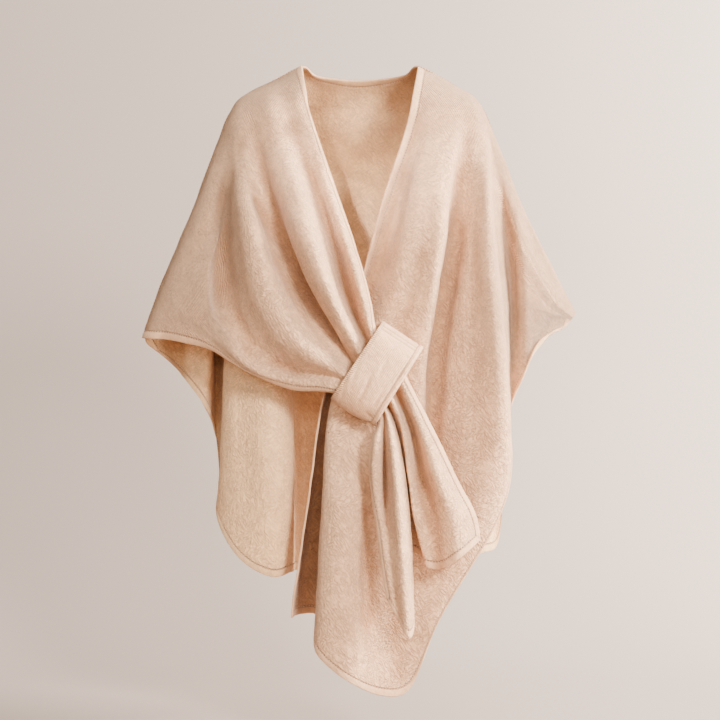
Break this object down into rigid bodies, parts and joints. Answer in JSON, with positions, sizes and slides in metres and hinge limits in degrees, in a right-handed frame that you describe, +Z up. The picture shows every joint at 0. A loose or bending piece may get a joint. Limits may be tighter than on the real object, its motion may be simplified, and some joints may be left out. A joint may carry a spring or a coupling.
{
  "type": "belted wrap cardigan",
  "caption": "Open wrap cardigan of brushed double knit, worn: the right front is drawn across and through a sewn loop on the left front, and hangs from it as a gathered tail.",
  "frame": {"origin": "on the shoulders, midway between the two neck points, where the shoulder seams meet the neck edge", "axes": "+X to the wearer's left, +Y to the wearer's back, +Z up; the front faces -Y"},
  "size_m": [0.7342, 0.3233, 1.049],
  "materials": {
    "knit": "brushed heathered double knit, matte with a soft nap",
    "knit_inside": "brushed heathered double knit, matte with a soft nap, warmer in shade",
    "knit_loop": "folded strip of the same knit with top-stitched edges"
  },
  "bodies": {
    "root": {"back": "knit_inside", "left_front": "knit", "right_front": "knit", "belt_loop": "knit_loop"}
  },
  "joints": []
}
